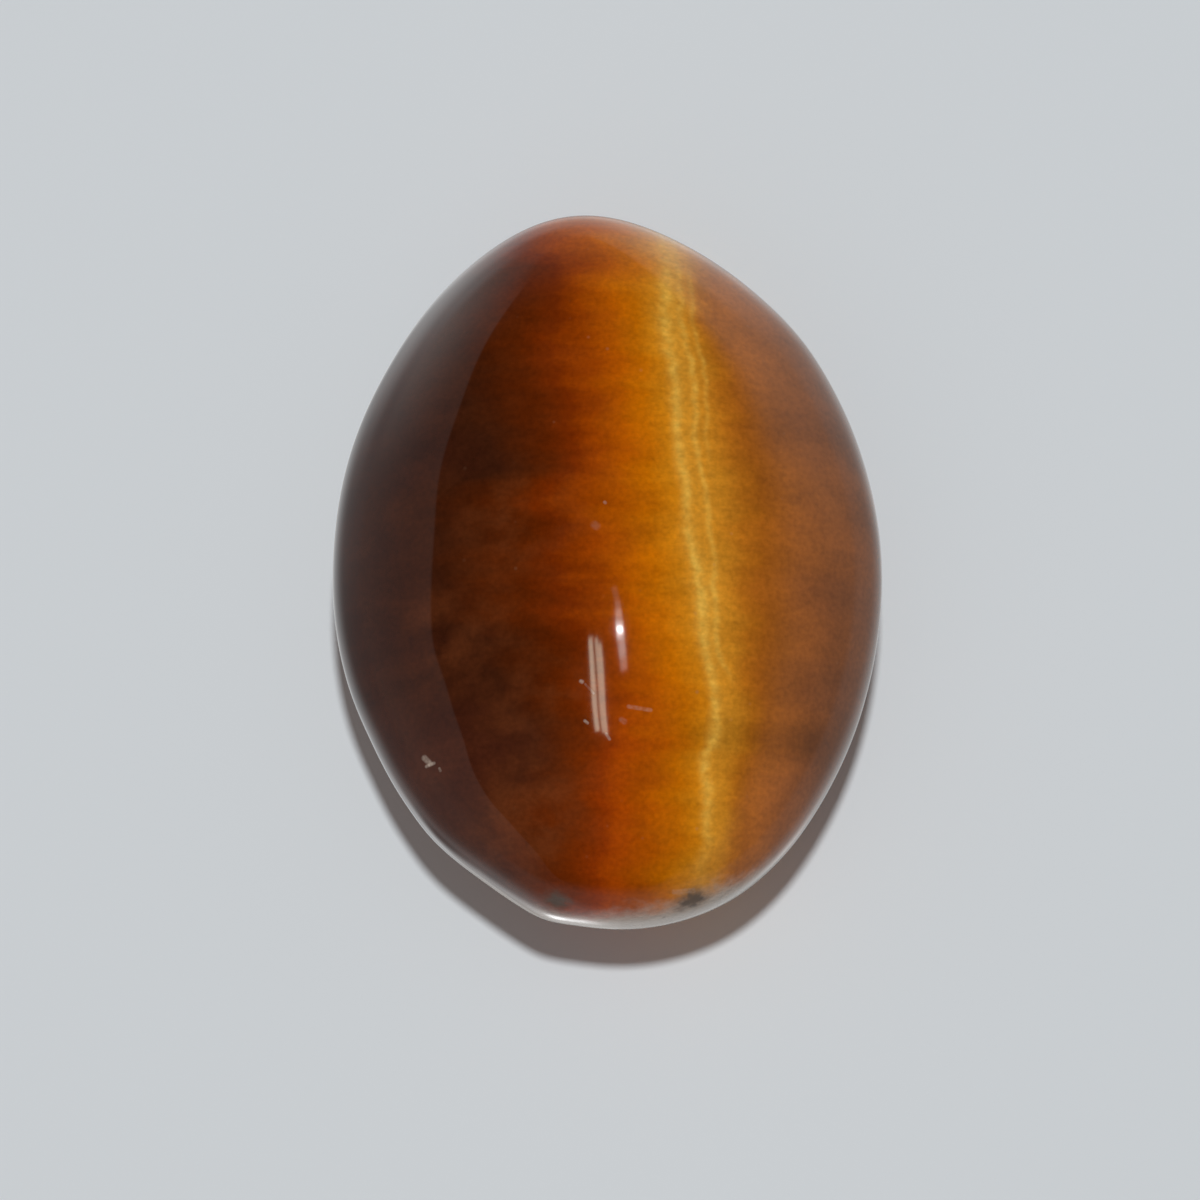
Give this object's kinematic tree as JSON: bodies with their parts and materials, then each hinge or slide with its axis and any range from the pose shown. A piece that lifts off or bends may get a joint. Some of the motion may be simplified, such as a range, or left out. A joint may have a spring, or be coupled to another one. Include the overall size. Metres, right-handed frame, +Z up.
{
  "type": "polished tiger's eye stone",
  "caption": "Oval tiger's eye stone, polished all over and domed above and below, with a golden silky band along its back, lying on a small ground flat.",
  "frame": {"origin": "on the ground, under the middle of the stone's footprint", "axes": "+Y along the stone towards its narrow tip, +X across it, +Z up through its domed top"},
  "size_m": [0.012, 0.0158, 0.0063],
  "materials": {
    "tigers_eye": "polished to a high gloss, silky golden band over red brown"
  },
  "bodies": {
    "root": {"tigers_eye_stone": "tigers_eye"}
  },
  "joints": []
}
